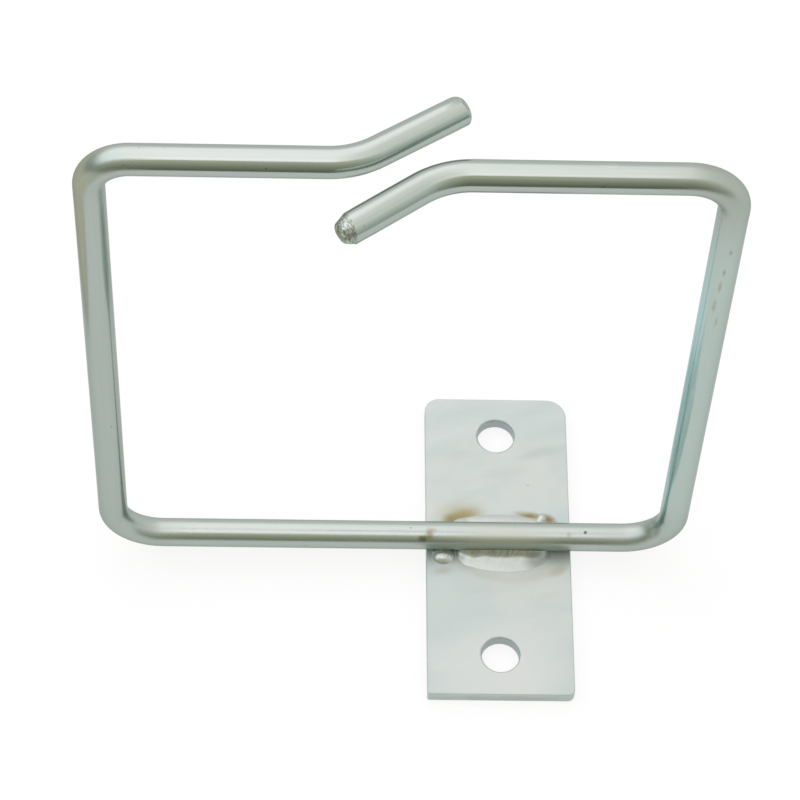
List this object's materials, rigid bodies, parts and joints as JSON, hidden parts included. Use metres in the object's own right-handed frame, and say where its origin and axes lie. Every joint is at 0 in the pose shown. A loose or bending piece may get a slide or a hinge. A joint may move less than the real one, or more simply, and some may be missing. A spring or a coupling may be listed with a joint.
{
  "type": "cable management ring",
  "caption": "Open rectangular cable ring of bent round steel bar with overlapping offset ends, welded across a flat screw-on mounting plate.",
  "frame": {"origin": "centre of the mounting plate's back face, midway between the two fixing holes", "axes": "+Z out of the rail, +Y along the line of the holes, +X along the foot of the ring"},
  "size_m": [0.103, 0.06, 0.118],
  "materials": {
    "zinc_plate": "blue-white passivated zinc plating, satin",
    "zinc_bar": "blue-white passivated zinc plating over drawn bar, semi-gloss",
    "weld_metal": "zinc plated over the weld, glossy and uneven"
  },
  "bodies": {
    "root": {"mounting_plate": "zinc_plate", "cable_ring": "zinc_bar", "weld_bead_front": "weld_metal", "weld_bead_rear": "weld_metal", "weld_spatter": "weld_metal"}
  },
  "joints": []
}
